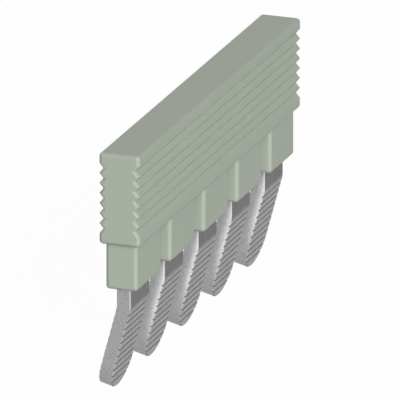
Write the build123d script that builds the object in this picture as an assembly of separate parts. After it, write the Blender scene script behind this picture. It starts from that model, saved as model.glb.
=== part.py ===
from build123d import *

import os
from math import cos, floor, radians, sin, tan

# Insulated terminal block jumper, in millimetres.
# A stamped and bent metal comb bridges a row of terminals. A moulded housing
# covers its spine and gives a grooved grip bar with a small foot for each pole.
# X runs along the row, Y through the thickness and Z up. The origin is the middle
# of the row, at the seating plane: the undersides of the feet. The blades point
# down and lean towards +Y.

# Row of poles
pole_count = 5
pole_pitch = 6.2

# Comb, stamped from flat strip, and the broken edges of its outer face
strip_thickness = 0.9
blade_width = 3.5
slot_root_radius = 0.5
edge_break = 0.07

# Blades, measured along the middle of the strip from where stem and leg would cross
bend_depth = 1.3
bend_angle = 15.0
bend_inner_radius = 0.4
leg_length = 5.85

# Serrations across both faces of each leg, the outer face being the one on the -Y side
serration_pitch = 0.48
serration_width = 0.13
serration_depth = 0.1
outer_serration_start = 0.36
inner_serration_start = 0.58
serration_tip_margin = 0.45

# Feet of the housing: their height, their walls round the comb and their rounded edges
foot_height = 3.05
foot_end_wall = 0.45
foot_side_wall = 0.6
foot_edge_radius = 0.25

# Grip bar: its height, how far it stands out beyond the feet, and its rounded edges
bar_height = 6.0
bar_end_step = 0.4
bar_side_step = 0.3
bar_edge_radius = 0.25

# Plastic between the spine of the comb and the top and underside of the bar
cover_above_spine = 1.0
cover_below_spine = 1.0

# Grip grooves, side by side along both long faces of the bar
groove_pitch = 0.66
groove_depth = 0.27
grip_margin = 0.6

# Sizes that follow from those above
row_length = (pole_count - 1) * pole_pitch
foot_length = blade_width + 2 * foot_end_wall
foot_thickness = strip_thickness + 2 * foot_side_wall
bar_length = row_length + foot_length + 2 * bar_end_step
bar_thickness = foot_thickness + 2 * bar_side_step
bar_bottom = foot_height
bar_top = bar_bottom + bar_height
spine_bottom = bar_bottom + cover_below_spine
spine_top = bar_top - cover_above_spine
pole_places = [(pole - (pole_count - 1) / 2) * pole_pitch for pole in range(pole_count)]

# The bend takes up this much of the middle line on each side of its corner
bend_middle_radius = bend_inner_radius + strip_thickness / 2
bend_tangent = bend_middle_radius * tan(radians(bend_angle) / 2)
bend_top = bend_tangent - bend_depth

# A leg lies in this plane: X across the blade, Y down the leg, Z out of its outer face
lean = radians(bend_angle)
leg_face = Plane(origin=(0, 0, -bend_depth), x_dir=(-1, 0, 0), z_dir=(0, -cos(lean), -sin(lean)))
leg_side = Plane(origin=(0, 0, -bend_depth), x_dir=(0, sin(lean), -cos(lean)), z_dir=(1, 0, 0))


def rounded_plan(length, thickness, radius, height):
    """A rectangle with rounded corners, flat at the given height."""
    return Plane.XY.offset(height) * RectangleRounded(length, thickness, radius)


def round_flat_face(solid, radius, height):
    """Round the edges all round the flat face that lies at this height."""
    face = solid.faces().sort_by(lambda f: abs(f.center().Z - height))[0]
    return fillet(face.edges(), radius)


def grip_stations():
    """Height and inset of each section of the bar, from its underside to its top."""
    groove_count = floor((bar_height - 2 * grip_margin) / groove_pitch)
    plain_band = (bar_height - groove_count * groove_pitch) / 2
    stations = [(bar_bottom, 0)]
    for groove in range(groove_count):
        low = bar_bottom + plain_band + groove * groove_pitch
        stations.append((low, 0))
        stations.append((low + groove_pitch / 2, groove_depth))
    stations.append((bar_top - plain_band, 0))
    stations.append((bar_top, 0))
    return stations


def grip_bar():
    """The bar, lofted straight from section to section, so its corners follow the grooves."""
    sections = [
        rounded_plan(bar_length, bar_thickness - 2 * inset, bar_edge_radius, height)
        for height, inset in grip_stations()
    ]
    bar = round_flat_face(loft(sections, ruled=True), bar_edge_radius, bar_top)
    return round_flat_face(bar, bar_edge_radius, bar_bottom)


def foot():
    """One foot: it reaches up into the bar, and its lower edge is rounded."""
    plan = rounded_plan(foot_length, foot_thickness, foot_edge_radius, 0)
    block = extrude(plan, amount=foot_height + bar_edge_radius)
    return round_flat_face(block, foot_edge_radius, 0)


def stamped_plate(outline, open_end):
    """A flat stretch of the strip, with the plane of its outline halfway through it.

    The edges of its upper face, the outer one on the comb, are broken. Only those at the
    open end are left, at this Y of the outline, because there the strip goes on into a bend.
    """
    plate = extrude(outline, amount=strip_thickness / 2, both=True)
    cut_edges = [
        edge
        for edge in plate.edges()
        if abs(edge.center().Z - strip_thickness / 2) < 1e-6
        and abs(edge.center().Y - open_end) > 1e-6
    ]
    return chamfer(cut_edges, edge_break)


def comb_blank():
    """The flat part of the comb: its spine, and the stems down to where the blades bend."""
    spine_height = spine_top - spine_bottom
    outline = Pos(0, (spine_top + spine_bottom) / 2) * Rectangle(row_length + blade_width, spine_height)
    stem_height = spine_bottom - bend_top
    for place in pole_places:
        outline += Pos(place, bend_top + stem_height / 2) * Rectangle(blade_width, stem_height)
    slot_roots = [
        corner
        for corner in outline.vertices()
        if abs(corner.Y - spine_bottom) < 1e-6 and abs(corner.X) < row_length / 2
    ]
    if slot_roots:
        outline = fillet(slot_roots, slot_root_radius)
    return Plane.XZ * stamped_plate(outline, bend_top)


def bend():
    """The bent stretch between stem and leg, a sector of a ring about its inner side."""
    section = Rectangle(blade_width, strip_thickness)
    outer_corners = section.vertices().group_by(Axis.Y)[0]
    section = Plane.XY.offset(bend_top) * chamfer(outer_corners, edge_break)
    inner_side = Axis((0, bend_middle_radius, bend_top), (1, 0, 0))
    return revolve(section, inner_side, bend_angle)


def serration_places(start):
    """Distances down the leg of the serrations on one face, the first of them at start."""
    room = leg_length - serration_tip_margin - start
    return [start + step * serration_pitch for step in range(floor(room / serration_pitch) + 1)]


def serrated_face(start, side):
    """One face of the leg in side view, as points down the leg; side is -1 outer, 1 inner."""
    surface = side * strip_thickness / 2
    root = surface - side * serration_depth
    points = [(bend_tangent, surface)]
    for place in serration_places(start):
        points.append((place - serration_width / 2, surface))
        points.append((place, root))
        points.append((place + serration_width / 2, surface))
    points.append((leg_length, surface))
    return points


def leg():
    """The leg: a serrated strip, cut to the blade's width and its full-round end."""
    outer = serrated_face(outer_serration_start, -1)
    inner = serrated_face(inner_serration_start, 1)
    profile = make_face(Polyline(*outer, *reversed(inner), close=True))
    strip = extrude(leg_side * profile, amount=blade_width, both=True)
    tip_radius = blade_width / 2
    straight = leg_length - tip_radius
    outline = Pos(0, straight / 2) * Rectangle(blade_width, straight)
    outline += Pos(0, straight) * Circle(tip_radius)
    return strip & leg_face * stamped_plate(outline, 0)


def contact_comb():
    """The comb: one strip of metal with a bent and serrated blade for each pole."""
    blade_end = bend() + leg()
    return comb_blank() + [Pos(place, 0, 0) * blade_end for place in pole_places]


def insulating_housing(comb):
    """The housing: grip bar and feet in one moulding, with the comb moulded in."""
    body = grip_bar() + [Pos(place, 0, 0) * foot() for place in pole_places]
    return body - comb


comb = contact_comb()
parts = {
    "contact_comb": comb,
    "insulating_housing": insulating_housing(comb),
}
os.makedirs("parts", exist_ok=True)
for name, solid in parts.items():
    export_step(solid, f"parts/{name}.step")
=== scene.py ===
"""Looks for an insulated terminal block jumper: grey-green housing and tin-plated comb.

Everything is in metres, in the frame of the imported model: X along the row of poles,
Y the side that the blades lean to, Z up, and Z = 0 at the undersides of the feet.
"""
import math

import bpy
import numpy as np
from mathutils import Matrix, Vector


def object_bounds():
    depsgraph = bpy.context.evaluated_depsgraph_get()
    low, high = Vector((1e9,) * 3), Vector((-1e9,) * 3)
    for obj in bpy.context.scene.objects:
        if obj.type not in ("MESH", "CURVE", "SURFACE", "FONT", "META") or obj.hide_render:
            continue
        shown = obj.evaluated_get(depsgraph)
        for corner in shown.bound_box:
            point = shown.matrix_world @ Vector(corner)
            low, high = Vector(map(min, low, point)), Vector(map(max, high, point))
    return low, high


bl_info = {
    "name": "Terminal Block Jumper",
    "version": (1, 0, 0),
    "blender": (4, 5, 0),
    "location": "3D View > Sidebar > Jumper",
    "description": "Finishes a moulded housing and its metal comb, and sets them on a pale floor",
    "category": "Object",
}

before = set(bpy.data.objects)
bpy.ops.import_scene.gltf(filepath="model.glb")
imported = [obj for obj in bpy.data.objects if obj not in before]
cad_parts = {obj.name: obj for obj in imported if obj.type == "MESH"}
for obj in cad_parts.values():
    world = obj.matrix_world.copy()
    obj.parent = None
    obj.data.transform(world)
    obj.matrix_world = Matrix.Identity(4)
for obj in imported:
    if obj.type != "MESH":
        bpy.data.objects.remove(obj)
cad_low, cad_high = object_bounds()

MM = 0.001

# Where the blades bend, how far the legs lean there, and half the thickness of the strip
BEND_HEIGHT = -1.3 * MM
LEG_LEAN = math.radians(15)
HALF_STRIP = 0.45 * MM

# Share of the normal that points out of a leg's flat side, at which a surface starts to
# count as a rolled face and is fully one, and the same for a cut edge. The stems' faces
# count too. The walls of the grooves and the broken edges lie in between.
ROLLED_FACE = (0.75, 0.9)
CUT_EDGE = (0.45, 0.3)

# Share of the normal that points along the row, which tells a broken edge from a groove
BROKEN_EDGE = (0.4, 0.6)

# Heights between which the tone of the leg gives way to that of the stem, which is darkened as
# painted shade under the foot
LEG_TO_STEM = (BEND_HEIGHT - 0.25 * MM, BEND_HEIGHT + 0.1 * MM)

# The band, a painted reflection of the neighbouring blade on the sides of the slots: heights
# between which it goes from none, towards the tip, to whole, its strength at the foot, where
# it gives way to painted shade, how sharply it fades through the strip, and the margin that
# leaves it off the two ends of the row, which is more than the width of a broken edge
REFLECTION_TIP_FADE = (-5.7 * MM, -3.4 * MM)
BAND_AT_FOOT = 0.05
BAND_FADE = 3.0
PLAIN_END = 0.1 * MM

# Length of the rolling lines, drawn short and coarse so that they show
LINE_LENGTH = 0.5 * MM

# Range that a noise texture mostly keeps to
NOISE_RANGE = (0.25, 0.75)

# Moulded plastic: refractive index, size and share of the slow change of tone, and the
# depth and strength of the grain
PLASTIC_IOR = 1.48
TONE_PATCH = 6 * MM
TONE_CHANGE = 0.03
GRAIN_DEPTH = 0.008 * MM
GRAIN_STRENGTH = 0.6


def linear(hex_colour):
    """An sRGB colour such as #9CA698 as linear red, green and blue."""
    channels = (int(hex_colour[start:start + 2], 16) / 255 for start in (1, 3, 5))
    return [c / 12.92 if c <= 0.04045 else ((c + 0.055) / 1.055) ** 2.4 for c in channels]


class HousingFinish(bpy.types.PropertyGroup):
    """Colour and surface of the moulded housing."""

    colour: bpy.props.FloatVectorProperty(
        name="Plastic",
        description="Colour of the moulded polyamide",
        subtype="COLOR",
        size=3,
        min=0,
        max=1,
        default=linear("#A0A89B"),
    )
    roughness: bpy.props.FloatProperty(
        name="Roughness",
        description="How matt the moulded surface is",
        subtype="FACTOR",
        min=0,
        max=1,
        default=0.64,
    )
    grain: bpy.props.FloatProperty(
        name="Grain",
        description="Spacing of the spark-eroded grain of the mould, drawn coarse enough to show",
        subtype="DISTANCE",
        unit="LENGTH",
        min=0.00001,
        default=0.12 * MM,
        precision=6,
    )


class CombFinish(bpy.types.PropertyGroup):
    """Colours and surface of the metal comb."""

    edge_colour: bpy.props.FloatVectorProperty(
        name="Cut edges",
        description="Colour of the tin plating on the cut edges of the strip",
        subtype="COLOR",
        size=3,
        min=0,
        max=1,
        default=linear("#9B9B9B"),
    )
    # Painted reflection: a bright band on the sides of the slots, for the light that the
    # neighbouring blade throws there
    reflection_band_colour: bpy.props.FloatVectorProperty(
        name="Painted reflection band",
        description="Colour of the band of painted reflection along the sides of the slots",
        subtype="COLOR",
        size=3,
        min=0,
        max=1,
        default=linear("#FCFCFC"),
    )
    # Painted highlight: the broken edges are a tone lighter than the faces
    corner_highlight_colour: bpy.props.FloatVectorProperty(
        name="Broken edges",
        description="Colour of the broken edges, lightened as a painted highlight",
        subtype="COLOR",
        size=3,
        min=0,
        max=1,
        default=linear("#A6A6A6"),
    )
    # Painted highlight: the broken edges along the slots are lighter still, where the painted
    # reflection lies
    slot_corner_highlight_colour: bpy.props.FloatVectorProperty(
        name="Slot corners",
        description="Colour of the broken edges along the slots, lightened more as a painted highlight",
        subtype="COLOR",
        size=3,
        min=0,
        max=1,
        default=linear("#C8C8C8"),
    )
    # Painted shade: the rolled faces from the foot down to the bend are darker, for the shade under
    # the foot
    stem_shade_colour: bpy.props.FloatVectorProperty(
        name="Stem faces",
        description="Colour of the rolled faces down to the bend, darkened as painted shade under the foot",
        subtype="COLOR",
        size=3,
        min=0,
        max=1,
        default=linear("#747474"),
    )
    leg_colour: bpy.props.FloatVectorProperty(
        name="Leg faces",
        description="Colour of the rolled faces below the bend",
        subtype="COLOR",
        size=3,
        min=0,
        max=1,
        default=linear("#9B9B9B"),
    )
    # Painted shade: the grooves of the serrations are darker, for the shade in them
    groove_shade_colour: bpy.props.FloatVectorProperty(
        name="Grooves",
        description="Colour of the grooves of the serrations, darkened as painted shade",
        subtype="COLOR",
        size=3,
        min=0,
        max=1,
        default=linear("#707070"),
    )
    roughness: bpy.props.FloatProperty(
        name="Roughness",
        description="How dull the plating is",
        subtype="FACTOR",
        min=0,
        max=1,
        default=0.45,
    )
    glancing: bpy.props.FloatProperty(
        name="Glancing",
        description="How much of its brightness the plating keeps when seen at a glancing angle",
        subtype="FACTOR",
        min=0,
        max=1,
        default=0.76,
    )
    unevenness: bpy.props.FloatProperty(
        name="Unevenness",
        description="How much the rolling lines and the grain change the tone",
        subtype="FACTOR",
        min=0,
        max=1,
        default=0.22,
    )
    rolling_lines: bpy.props.FloatProperty(
        name="Rolling lines",
        description="Spacing of the lines left by rolling the strip, drawn coarse enough to show",
        subtype="DISTANCE",
        unit="LENGTH",
        min=0.00001,
        default=0.1 * MM,
        precision=6,
    )
    grain: bpy.props.FloatProperty(
        name="Grain",
        description="Spacing of the grain on the cut edges, drawn coarse enough to show",
        subtype="DISTANCE",
        unit="LENGTH",
        min=0.00001,
        default=0.09 * MM,
        precision=6,
    )


class StageSetup(bpy.types.PropertyGroup):
    """Floor and camera."""

    floor_colour: bpy.props.FloatVectorProperty(
        name="Floor",
        description="Colour of the plain floor",
        subtype="COLOR",
        size=3,
        min=0,
        max=1,
        default=linear("#FAFAFA"),
    )
    floor_radius: bpy.props.FloatProperty(
        name="Floor radius",
        description="Distance from the object to the edge of the floor",
        subtype="DISTANCE",
        unit="LENGTH",
        default=0.8,
    )
    floor_white: bpy.props.FloatProperty(
        name="Floor white",
        description="How far the camera and reflections see the floor as plain white",
        subtype="FACTOR",
        min=0,
        max=1,
        default=0.97,
    )
    floor_bounce: bpy.props.FloatProperty(
        name="Floor bounce",
        description="How much of the light that the floor gets it sends on to the object",
        subtype="FACTOR",
        min=0,
        max=1,
        default=0.21,
    )
    azimuth: bpy.props.FloatProperty(
        name="Azimuth",
        description="Where the camera stands round the object",
        subtype="ANGLE",
        unit="ROTATION",
        default=math.radians(-70.12),
    )
    elevation: bpy.props.FloatProperty(
        name="Elevation",
        description="How far above the horizon the camera stands",
        subtype="ANGLE",
        unit="ROTATION",
        default=math.radians(18.49),
    )
    field_of_view: bpy.props.FloatProperty(
        name="Field of view",
        description="Angle that the picture takes in",
        subtype="ANGLE",
        unit="ROTATION",
        default=math.radians(1.25),
    )
    distance: bpy.props.FloatProperty(
        name="Distance",
        description="From the camera to the point it is aimed at",
        subtype="DISTANCE",
        unit="LENGTH",
        default=1155.1 * MM,
    )
    aim: bpy.props.FloatVectorProperty(
        name="Aim",
        description="Point that the camera is aimed at",
        subtype="TRANSLATION",
        unit="LENGTH",
        size=3,
        default=(0.376 * MM, 0.193 * MM, 1.244 * MM),
        precision=6,
    )


# Soft boxes: azimuth and elevation in degrees, side in metres, and level, which is the
# brightness of a matt white surface that faces the lamp
SOFT_BOXES = {
    "head_soft_box": (-70, 18.6, 0.40, 0.25),
    "key_soft_box": (-49, 30, 0.40, 0.49),
    "low_soft_box": (-45, 4, 0.24, 0.705),
    "top_soft_box": (135, 50, 0.60, 0.143),
    "back_soft_box": (160, 20, 1.00, 0.55),
    "right_soft_box": (95, 3, 0.40, 0.24),
}
SOFT_BOX_DISTANCE = 1.0


def direction(azimuth, elevation):
    """Unit vector from the object: azimuth 0 is -Y and 90 is +X, elevation is above the horizon."""
    return Vector((
        math.sin(azimuth) * math.cos(elevation),
        -math.cos(azimuth) * math.cos(elevation),
        math.sin(elevation),
    ))


def add_node(tree, kind, inputs=None, **settings):
    """Add one node with its settings, and set each input or link it to an output."""
    node = tree.nodes.new(kind)
    for name, value in settings.items():
        setattr(node, name, value)
    for name, value in (inputs or {}).items():
        if isinstance(value, bpy.types.NodeSocket):
            tree.links.new(value, node.inputs[name])
        else:
            node.inputs[name].default_value = value
    return node


def new_material(name):
    """An empty node material and its tree."""
    material = bpy.data.materials.new(name)
    material.use_nodes = True
    material.node_tree.nodes.clear()
    return material, material.node_tree


def finish_node(node_name, material):
    """Give a carried-over solid its material."""
    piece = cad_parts[node_name]
    piece.data.materials.clear()
    piece.data.materials.append(material)


def moulded_polyamide(finish):
    """Glass-filled polyamide, injection moulded in a spark-eroded tool: an even grey-green
    with a satin sheen, a very fine grain and hardly any change of tone.

    The grain of such a tool is a few hundredths of a millimetre. It is drawn several times
    as coarse, because finer grain doesn't show.
    """
    material, tree = new_material("moulded_polyamide")
    place = add_node(tree, "ShaderNodeTexCoord").outputs["Object"]
    tone = add_node(
        tree, "ShaderNodeTexNoise", {"Vector": place, "Scale": 1 / TONE_PATCH, "Detail": 2.0}
    )
    dark = [c * (1 - TONE_CHANGE) for c in finish.colour]
    light = [c * (1 + TONE_CHANGE) for c in finish.colour]
    colour = add_node(
        tree,
        "ShaderNodeMix",
        {"Factor": tone.outputs["Fac"], "A": [*dark, 1], "B": [*light, 1]},
        data_type="RGBA",
    )
    grain = add_node(
        tree, "ShaderNodeTexNoise", {"Vector": place, "Scale": 1 / finish.grain, "Detail": 3.0}
    )
    relief = add_node(
        tree,
        "ShaderNodeBump",
        {"Height": grain.outputs["Fac"], "Strength": GRAIN_STRENGTH, "Distance": GRAIN_DEPTH},
    )
    shader = add_node(
        tree,
        "ShaderNodeBsdfPrincipled",
        {
            "Base Color": colour.outputs["Result"],
            "Roughness": finish.roughness,
            "IOR": PLASTIC_IOR,
            "Normal": relief.outputs["Normal"],
        },
    )
    add_node(tree, "ShaderNodeOutputMaterial", {"Surface": shader.outputs["BSDF"]})
    return material


def comb_masks(tree, coordinates, half_row):
    """Where the rolled faces, the cut edges, the broken edges, the stems and the band of painted
    reflection of the comb lie, each as an output that is 1 there and 0 elsewhere."""
    place, normal = coordinates["Object"], coordinates["Normal"]
    out_of_leg = (0, math.cos(LEG_LEAN), math.sin(LEG_LEAN))
    flatness = add_node(
        tree, "ShaderNodeVectorMath", {0: normal, 1: out_of_leg}, operation="DOT_PRODUCT"
    )
    flatness = add_node(
        tree, "ShaderNodeMath", {0: flatness.outputs["Value"]}, operation="ABSOLUTE"
    )
    sideways = add_node(tree, "ShaderNodeVectorMath", {0: normal}, operation="ABSOLUTE")
    sideways = add_node(tree, "ShaderNodeSeparateXYZ", {"Vector": sideways.outputs["Vector"]})
    at = add_node(tree, "ShaderNodeSeparateXYZ", {"Vector": place}).outputs

    # Through the strip, from its middle: straight along Y on a stem, and slanting on a leg
    from_bend = add_node(
        tree, "ShaderNodeVectorMath", {0: place, 1: (0, 0, BEND_HEIGHT)}, operation="SUBTRACT"
    )
    through_leg = add_node(
        tree,
        "ShaderNodeVectorMath",
        {0: from_bend.outputs["Vector"], 1: out_of_leg},
        operation="DOT_PRODUCT",
    )
    through = add_node(
        tree, "ShaderNodeMath", {0: at["Y"], 1: through_leg.outputs["Value"]}, operation="MINIMUM"
    )

    masks = {}
    ramps = (
        ("rolled", flatness.outputs["Value"], *ROLLED_FACE),
        ("cut", flatness.outputs["Value"], *CUT_EDGE),
        ("broken", sideways.outputs["X"], *BROKEN_EDGE),
        ("stem", at["Z"], *LEG_TO_STEM),
        ("outward", through.outputs["Value"], HALF_STRIP, -HALF_STRIP),
        ("reflection_height", at["Z"], *REFLECTION_TIP_FADE),
    )
    for name, value, none, full in ramps:
        ramp = add_node(
            tree, "ShaderNodeMapRange", {"Value": value, "From Min": none, "From Max": full}
        )
        masks[name] = ramp.outputs["Result"]

    # The band, a painted reflection of the neighbouring blade: bright at the -Y face of the strip
    # and fading through it, weak near the foot, where it gives way to painted shade, and fading
    # out towards the tip. The two ends of the row face no neighbouring blade, so they have none.
    near_face = add_node(
        tree, "ShaderNodeMath", {0: masks["outward"], 1: BAND_FADE}, operation="POWER"
    )
    below_foot = add_node(
        tree,
        "ShaderNodeMapRange",
        {
            "Value": at["Z"],
            "From Min": 0.0,
            "From Max": BEND_HEIGHT,
            "To Min": BAND_AT_FOOT,
            "To Max": 1.0,
        },
    )
    from_middle = add_node(tree, "ShaderNodeMath", {0: at["X"]}, operation="ABSOLUTE")
    in_slot = add_node(
        tree,
        "ShaderNodeMath",
        {0: from_middle.outputs["Value"], 1: half_row - PLAIN_END},
        operation="LESS_THAN",
    )
    band = near_face
    for share in (masks["reflection_height"], below_foot.outputs["Result"], in_slot.outputs["Value"]):
        band = add_node(
            tree, "ShaderNodeMath", {0: band.outputs["Value"], 1: share}, operation="MULTIPLY"
        )
    masks["band"] = band.outputs["Value"]
    return masks


def tinned_copper(finish, half_row):
    """Rolled copper strip, stamped, bent and then tin plated: a dull neutral grey metal.

    The rolled faces have faint lines along the blade and the cut edges a fine grain. A bright
    band along the sides of the slots is painted reflection of the neighbouring blade, the broken
    edges are lightened as painted highlight, and the stems and the grooves of the serrations are
    darkened as painted shade. Real rolling lines and grain are a few hundredths of a millimetre
    or less. Both are drawn several times as coarse, so that they show.
    """
    material, tree = new_material("tinned_copper")
    coordinates = add_node(tree, "ShaderNodeTexCoord").outputs
    masks = comb_masks(tree, coordinates, half_row)

    # The stem tone is painted shade under the foot, the corner tones are painted highlight, the
    # band is painted reflection, and the groove tone is painted shade
    # Name of the mix, its mask, and what shows outside and inside it: a colour or an earlier mix
    layers = (
        ("face", "stem", finish.leg_colour, finish.stem_shade_colour),
        ("corner", "band", finish.corner_highlight_colour, finish.slot_corner_highlight_colour),
        ("edge", "band", finish.edge_colour, finish.reflection_band_colour),
        ("surface", "rolled", finish.groove_shade_colour, "face"),
        ("surface", "broken", "surface", "corner"),
        ("surface", "cut", "surface", "edge"),
    )
    made = {}
    for name, mask, *colours in layers:
        outside, inside = (made[c] if isinstance(c, str) else [*c, 1] for c in colours)
        mix = add_node(
            tree,
            "ShaderNodeMix",
            {"Factor": masks[mask], "A": outside, "B": inside},
            data_type="RGBA",
        )
        made[name] = mix.outputs["Result"]

    across, along = 1 / finish.rolling_lines, 1 / LINE_LENGTH
    drawn_out = add_node(
        tree,
        "ShaderNodeMapping",
        {"Vector": coordinates["Object"], "Scale": (across, across, along)},
    )
    lines = add_node(
        tree,
        "ShaderNodeTexNoise",
        {"Vector": drawn_out.outputs["Vector"], "Scale": 1.0, "Detail": 2.0},
    )
    grain = add_node(
        tree,
        "ShaderNodeTexNoise",
        {"Vector": coordinates["Object"], "Scale": 1 / finish.grain, "Detail": 2.0},
    )
    pattern = add_node(
        tree,
        "ShaderNodeMix",
        {"Factor": masks["cut"], "A": lines.outputs["Fac"], "B": grain.outputs["Fac"]},
        data_type="FLOAT",
    )
    tone = add_node(
        tree,
        "ShaderNodeMapRange",
        {
            "Value": pattern.outputs["Result"],
            "From Min": NOISE_RANGE[0],
            "From Max": NOISE_RANGE[1],
            "To Min": 1 - finish.unevenness,
            "To Max": 1 + finish.unevenness,
        },
    )
    uneven = add_node(
        tree,
        "ShaderNodeVectorMath",
        {0: made["surface"], "Scale": tone.outputs["Result"]},
        operation="SCALE",
    )
    shader = add_node(
        tree,
        "ShaderNodeBsdfPrincipled",
        {
            "Base Color": uneven.outputs["Vector"],
            "Metallic": 1.0,
            "Roughness": finish.roughness,
            "Specular Tint": [finish.glancing] * 3 + [1],
        },
    )
    add_node(tree, "ShaderNodeOutputMaterial", {"Surface": shader.outputs["BSDF"]})
    return material


def seen_directly(tree):
    """1 for the rays of the camera, of reflections and of clear materials, and 0 for the rest."""
    ray = add_node(tree, "ShaderNodeLightPath").outputs
    seen = ray["Is Camera Ray"]
    for kind in ("Is Glossy Ray", "Is Transmission Ray"):
        either = add_node(tree, "ShaderNodeMath", {0: seen, 1: ray[kind]}, operation="MAXIMUM")
        seen = either.outputs["Value"]
    return seen


def pale_floor(setup):
    """Matt white card, which keeps the shadow but is shown nearly as bright as the room.
    Seen from below it is clear, so that the underside can be looked at."""
    material, tree = new_material("pale_floor")
    seen = seen_directly(tree)
    dim = [c * setup.floor_bounce for c in setup.floor_colour]
    colour = add_node(
        tree,
        "ShaderNodeMix",
        {"Factor": seen, "A": [*dim, 1], "B": [*setup.floor_colour, 1]},
        data_type="RGBA",
    )
    card = add_node(tree, "ShaderNodeBsdfDiffuse", {"Color": colour.outputs["Result"]})
    white = add_node(tree, "ShaderNodeEmission", {"Color": (1, 1, 1, 1), "Strength": 1.0})
    whiteness = add_node(
        tree, "ShaderNodeMath", {0: seen, 1: setup.floor_white}, operation="MULTIPLY"
    )
    top = add_node(
        tree,
        "ShaderNodeMixShader",
        {0: whiteness.outputs["Value"], 1: card.outputs["BSDF"], 2: white.outputs["Emission"]},
    )
    clear = add_node(tree, "ShaderNodeBsdfTransparent")
    underside = add_node(tree, "ShaderNodeNewGeometry").outputs["Backfacing"]
    shown = add_node(
        tree,
        "ShaderNodeMixShader",
        {0: underside, 1: top.outputs["Shader"], 2: clear.outputs["BSDF"]},
    )
    add_node(tree, "ShaderNodeOutputMaterial", {"Surface": shown.outputs["Shader"]})
    return material


def floor_disc(radius, height):
    """A flat disc. With r from 0 to the radius and t once round: (r cos t, r sin t, height)."""
    rings, spokes = 12, 96
    r = radius * np.linspace(0, 1, rings + 1)[1:, None]
    t = np.linspace(0, 2 * math.pi, spokes, endpoint=False)[None, :]
    ring_points = np.stack([r * np.cos(t), r * np.sin(t), np.full((rings, spokes), height)], -1)
    points = np.vstack([[[0, 0, height]], ring_points.reshape(-1, 3)])
    inner = 1 + np.arange(rings * spokes).reshape(rings, spokes)
    after = np.roll(inner, -1, axis=1)
    quads = np.stack([inner[:-1], inner[1:], after[1:], after[:-1]], -1).reshape(-1, 4)
    fan = np.stack([np.zeros(spokes, int), inner[0], after[0]], -1)
    mesh = bpy.data.meshes.new("floor")
    mesh.from_pydata(points.tolist(), [], fan.tolist() + quads.tolist())
    mesh.update()
    return bpy.data.objects.new("floor", mesh)


def soft_box(name, azimuth, elevation, side, level):
    """A square area lamp, aimed at the object.

    Far off, a lamp of power P lights what faces it with P / (pi distance^2), and a matt
    white surface shows 1 / pi of that. So P is the level times pi^2 distance^2.
    """
    lamp = bpy.data.lights.new(name, "AREA")
    lamp.shape = "SQUARE"
    lamp.size = side
    lamp.energy = level * math.pi ** 2 * SOFT_BOX_DISTANCE ** 2
    away = direction(math.radians(azimuth), math.radians(elevation))
    rig = bpy.data.objects.new(name, lamp)
    rig.location = away * SOFT_BOX_DISTANCE
    rig.rotation_euler = away.to_track_quat("Z", "Y").to_euler()
    rig.visible_camera = False
    bpy.context.collection.objects.link(rig)


def white_room():
    """Plain white all round, as the camera, metal and gloss see it. It lights nothing matt."""
    world = bpy.data.worlds.new("white_room")
    bpy.context.scene.world = world
    world.use_nodes = True
    tree = world.node_tree
    tree.nodes.clear()
    sky = add_node(
        tree, "ShaderNodeBackground", {"Color": (1, 1, 1, 1), "Strength": seen_directly(tree)}
    )
    add_node(tree, "ShaderNodeOutputWorld", {"Surface": sky.outputs["Background"]})


def studio_camera(setup):
    """The camera, at the picture's angle."""
    lens = bpy.data.cameras.new("studio_camera")
    lens.lens_unit = "FOV"
    lens.angle = setup.field_of_view
    camera = bpy.data.objects.new("studio_camera", lens)
    away = direction(setup.azimuth, setup.elevation)
    camera.location = Vector(setup.aim) + away * setup.distance
    camera.rotation_euler = away.to_track_quat("Z", "Y").to_euler()
    bpy.context.collection.objects.link(camera)
    bpy.context.scene.camera = camera


class JUMPER_OT_housing(bpy.types.Operator):
    """Give the housing its moulded plastic"""

    bl_idname = "jumper.housing"
    bl_label = "Finish Housing"

    def execute(self, context):
        material = moulded_polyamide(context.scene.jumper_housing)
        finish_node("insulating_housing", material)
        return {"FINISHED"}


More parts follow.
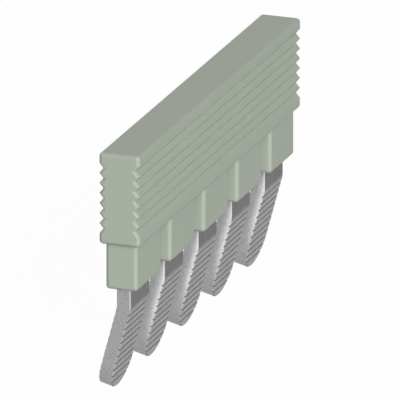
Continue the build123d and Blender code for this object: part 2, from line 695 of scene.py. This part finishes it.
class JUMPER_OT_comb(bpy.types.Operator):
    """Give the contact comb its tin plating"""

    bl_idname = "jumper.comb"
    bl_label = "Finish Comb"

    def execute(self, context):
        half_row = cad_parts["contact_comb"].dimensions.x / 2
        material = tinned_copper(context.scene.jumper_comb, half_row)
        finish_node("contact_comb", material)
        return {"FINISHED"}


class JUMPER_OT_stage(bpy.types.Operator):
    """Lay the floor, hang the lamps and place the camera"""

    bl_idname = "jumper.stage"
    bl_label = "Build Stage"

    def execute(self, context):
        setup = context.scene.jumper_stage
        floor = floor_disc(setup.floor_radius, cad_low.z)
        floor.data.materials.append(pale_floor(setup))
        context.collection.objects.link(floor)
        for name, values in SOFT_BOXES.items():
            soft_box(name, *values)
        white_room()
        studio_camera(setup)
        context.scene.view_settings.view_transform = "Standard"
        return {"FINISHED"}


class JUMPER_PT_panel(bpy.types.Panel):
    """Lists the steps that finish the jumper."""

    bl_idname = "JUMPER_PT_panel"
    bl_label = "Terminal Block Jumper"
    bl_space_type = "VIEW_3D"
    bl_region_type = "UI"
    bl_category = "Jumper"

    def draw(self, context):
        steps = (
            (context.scene.jumper_housing, JUMPER_OT_housing),
            (context.scene.jumper_comb, JUMPER_OT_comb),
            (context.scene.jumper_stage, JUMPER_OT_stage),
        )
        for settings, operator in steps:
            box = self.layout.box()
            for name in type(settings).__annotations__:
                box.prop(settings, name)
            box.operator(operator.bl_idname)


CLASSES = (
    HousingFinish,
    CombFinish,
    StageSetup,
    JUMPER_OT_housing,
    JUMPER_OT_comb,
    JUMPER_OT_stage,
    JUMPER_PT_panel,
)


def register():
    for each in CLASSES:
        bpy.utils.register_class(each)
    bpy.types.Scene.jumper_housing = bpy.props.PointerProperty(type=HousingFinish)
    bpy.types.Scene.jumper_comb = bpy.props.PointerProperty(type=CombFinish)
    bpy.types.Scene.jumper_stage = bpy.props.PointerProperty(type=StageSetup)


def unregister():
    del bpy.types.Scene.jumper_stage
    del bpy.types.Scene.jumper_comb
    del bpy.types.Scene.jumper_housing
    for each in reversed(CLASSES):
        bpy.utils.unregister_class(each)


def main():
    """Finish both pieces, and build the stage."""
    register()
    bpy.ops.jumper.housing()
    bpy.ops.jumper.comb()
    bpy.ops.jumper.stage()


if __name__ == "__main__":
    main()
